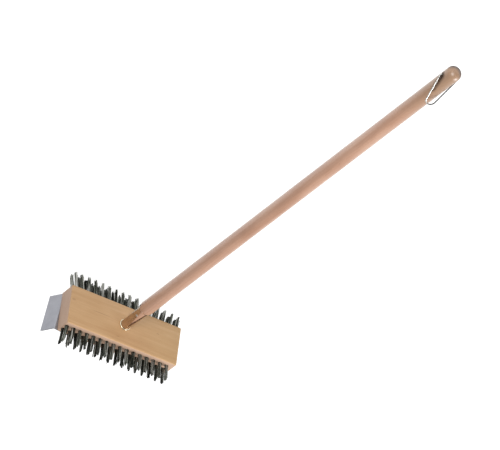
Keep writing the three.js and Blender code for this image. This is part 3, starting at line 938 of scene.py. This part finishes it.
def make_scraper(materials):
    outline = scraper_section()
    count = len(outline)
    vertices = [(p.x, p.y, z) for z in (-SCRAPER_WIDTH / 2, SCRAPER_WIDTH / 2) for p in outline]
    faces = [[i, (i + 1) % count, count + (i + 1) % count, count + i] for i in range(count)]
    faces += [list(range(count)), list(range(count, 2 * count))[::-1]]
    blade = make_object("scraper", vertices, faces)
    blade.data.transform(scraper_place())
    holes = [screw_hole(number, -OVERCUT, SCRAPER_THICKNESS + OVERCUT) for number in SCREW_NUMBERS]
    cut(blade, [pegs("screw_holes", holes)])
    bevel(blade, SCRAPER_EASE, SCRAPER_EASE_STEPS, SCRAPER_EASE_ANGLE)
    return place(blade, materials["blade"], "blade_steel", "brush", "scraper_blade")


def make_screw(name, turn, materials):
    """A slotted round-head screw along +Y, its head behind the flange."""
    low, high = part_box(name)
    head_radius = (high.z - low.z) / 2
    seat = -GAP
    profile = [(0, low.y)]
    for i in range(1, SCREW_HEAD_STEPS + 1):
        angle = i / SCREW_HEAD_STEPS * math.pi / 2
        profile.append((head_radius * math.sin(angle), seat + (low.y - seat) * math.cos(angle)))
    profile += [(SCREW_SHANK_RADIUS, seat), (SCREW_SHANK_RADIUS, high.y - SCREW_POINT), (0, high.y)]
    screw = lathe(name.replace("scraper_", ""), profile, SCREW_SIDES)
    cut(screw, [make_box("slot", SCREW_SLOT, (0, low.y, 0))])
    middle = Matrix.Translation(((low.x + high.x) / 2, 0, (low.z + high.z) / 2))
    screw.data.transform(middle @ Matrix.Rotation(turn, 4, "Y"))
    return place(screw, materials["bright"], "bright_steel", "brush", name)


# --- Tufts ------------------------------------------------------------------------------------------


def tuft_places():
    first = TUFT_OFFSET - (TUFTS_IN_ROW - 1) / 2 * TUFT_PITCH
    return [first + i * TUFT_PITCH for i in range(TUFTS_IN_ROW)]


def row_y(row):
    low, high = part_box(f"tufts_upper_{row}_1")
    return (low.y + high.y) / 2


def along_head(low, high, x, power=1):
    """A value at x, between its values at the head's -X end and its +X end."""
    share = (x - BLOCK_LOW.x) / (BLOCK_HIGH.x - BLOCK_LOW.x)
    return low + (high - low) * min(1, max(0, share)) ** power


def add_flat_wire(points, twist, vertices, faces):
    """A closed flat strip along the points, with its width turned by twist about the strip's own length."""
    first = len(vertices)
    wide = Vector((math.cos(twist), math.sin(twist), 0)) * STRIP_HALF_WIDTH
    thin = Vector((-math.sin(twist), math.cos(twist), 0)) * STRIP_HALF_THICKNESS
    for point in points:
        vertices += [point + wide + thin, point - wide + thin, point - wide - thin, point + wide - thin]
    rings = [list(range(first + 4 * i, first + 4 * i + 4)) for i in range(len(points))]
    for low, high in zip(rings, rings[1:]):
        faces += ring_faces(low, high)
    faces += [rings[0][::-1], rings[-1]]


def add_tuft(root, sign, lean, length, tip_along, rng, vertices, faces):
    """One bundle of flat wires: packed round in its hole, then drawn into a ragged tip that leans along X."""
    aims = [(rng.uniform(-1, 1) * MM, rng.uniform(-1, 1) * MM) for _ in range(TUFT_POINTS)]
    for i in range(STRIPS_PER_TUFT):
        spin = i * math.pi * (3 - math.sqrt(5))
        reach = math.sqrt((i + 0.5) / STRIPS_PER_TUFT)
        foot = Vector((math.cos(spin), math.sin(spin), 0)) * reach * TUFT_ROOT_RADIUS
        aim_x, aim_y = aims[i % TUFT_POINTS]
        drift_x = aim_x + rng.gauss(0, WIRE_DRIFT) * MM
        drift_y = aim_y + rng.gauss(0, WIRE_DRIFT) * MM
        shortening = OUTER_SHORTENING * reach**2 * rng.random() + abs(rng.gauss(0, WIRE_SHORTENING))
        own_length = length * (1 - shortening)
        bow = rng.gauss(0, WIRE_BOW) * MM
        points = [root + foot - Vector((0, 0, sign * TUFT_HOLE_DEPTH / 2))]
        for k in range(STRIP_STEPS + 1):
            t = k / STRIP_STEPS
            width_x = 1 + t * (tip_along - 1)
            width_y = 1 + t * (TUFT_TIP_ACROSS - 1)
            leaning = t * own_length * math.tan(lean)
            x = foot.x * width_x + drift_x * t + leaning + bow * math.sin(math.pi * t)
            y = foot.y * width_y + drift_y * t + bow * math.sin(2 * math.pi * t)
            points.append(root + Vector((x, y, sign * own_length * t)))
        add_flat_wire(points, rng.uniform(0, math.pi), vertices, faces)


def make_strip(side, row, number, materials, rng):
    sign = 1 if side == "upper" else -1
    places = tuft_places()[(number - 1) * TUFTS_PER_STRIP : number * TUFTS_PER_STRIP]
    vertices, faces = [], []
    for place_along in places:
        x = sign * place_along
        root = Vector((x, row_y(row), sign * BLOCK_HIGH.z))
        lean_low, lean_high, lean_power = LEANS[side]
        lean = math.radians(along_head(lean_low, lean_high, x, lean_power))
        length = along_head(*LENGTHS[side], x)
        splayed = side == "lower" and x < BLOCK_LOW.x + TUFT_PITCH
        tip_along = TUFT_SPLAYED_TIP_ALONG if splayed else TUFT_TIP_ALONG
        add_tuft(root, sign, lean, length, tip_along, rng, vertices, faces)
    strip = make_object(f"wires_{side}_{row}_{number}", vertices, faces, TUFT_SHARP_ANGLE)
    return place(strip, materials["wire"], "tuft_wire", "brush", f"tufts_{side}_{row}_{number}")


def make_tufts(materials):
    rng = random.Random(SEED)
    for side in LEANS:
        for row in ROWS:
            for number in range(1, TUFTS_IN_ROW // TUFTS_PER_STRIP + 1):
                make_strip(side, row, number, materials, rng)


# --- Stage ------------------------------------------------------------------------------------------


def make_camera():
    back = Vector((
        math.sin(AZIMUTH) * math.cos(ELEVATION),
        -math.cos(AZIMUTH) * math.cos(ELEVATION),
        math.sin(ELEVATION),
    ))
    turn = (-back).to_track_quat("-Z", "Y") @ Quaternion((0, 0, 1), ROLL)
    right, up = turn @ Vector((1, 0, 0)), turn @ Vector((0, 1, 0))
    face = Vector((0, BLOCK_HIGH.y, 0))
    data = bpy.data.cameras.new("camera")
    data.lens = LENS
    data.clip_end = CLIP_END
    camera = bpy.data.objects.new("camera", data)
    camera.rotation_mode = "QUATERNION"
    camera.rotation_quaternion = turn
    camera.location = face + AIM_RIGHT * right + AIM_UP * up + DISTANCE * back
    bpy.context.scene.collection.objects.link(camera)
    bpy.context.scene.camera = camera


def make_floor():
    z = cad_box[0].z - FLOOR_DROP
    corners = [(x * FLOOR_HALF, y * FLOOR_HALF, z) for x, y in ((-1, -1), (1, -1), (1, 1), (-1, 1))]
    floor = make_object("floor", corners, [[0, 1, 2, 3]])
    n = Nodes("floor")
    speckle = n.noise(n.stretch((3, 3, 3)), detail=2)
    colour = n.ramp(speckle, (0.3, (0.24, 0.24, 0.24)), (0.7, (0.26, 0.26, 0.26)))
    floor.data.materials.append(
        n.surface(base_color=colour, roughness=0.9, emission_color=(1, 1, 1, 1), emission_strength=FLOOR_GLOW)
    )
    floor.visible_diffuse = False


def add_light(name, location, size, energy):
    data = bpy.data.lights.new(name, "AREA")
    data.shape = "DISK"
    data.size = size
    data.energy = energy
    light = bpy.data.objects.new(name, data)
    light.location = location
    light.rotation_mode = "QUATERNION"
    light.rotation_quaternion = (LIGHT_TARGET - Vector(location)).to_track_quat("-Z", "Y")
    bpy.context.scene.collection.objects.link(light)


def make_lights():
    for name, location, size, energy in LIGHTS:
        add_light(name, location, size, energy)
    world = bpy.data.worlds.new("studio")
    world.use_nodes = True
    background = world.node_tree.nodes["Background"]
    background.inputs["Color"].default_value = (1, 1, 1, 1)
    background.inputs["Strength"].default_value = WORLD_STRENGTH
    bpy.context.scene.world = world
    bpy.context.scene.view_settings.view_transform = "Standard"


# --- Scene ------------------------------------------------------------------------------------------

make_camera()
make_lights()
make_floor()
materials = make_materials()
make_block(materials)
make_handle(materials)
make_socket(materials)
make_collar(materials)
for nail_name, nail_angle in NAIL_ANGLES.items():
    make_nail(nail_name, nail_angle, materials)
make_bail(materials)
make_scraper(materials)
for number, turn in enumerate(SCREW_TURNS, 1):
    make_screw(f"scraper_screw_{number}", math.radians(turn), materials)
make_tufts(materials)
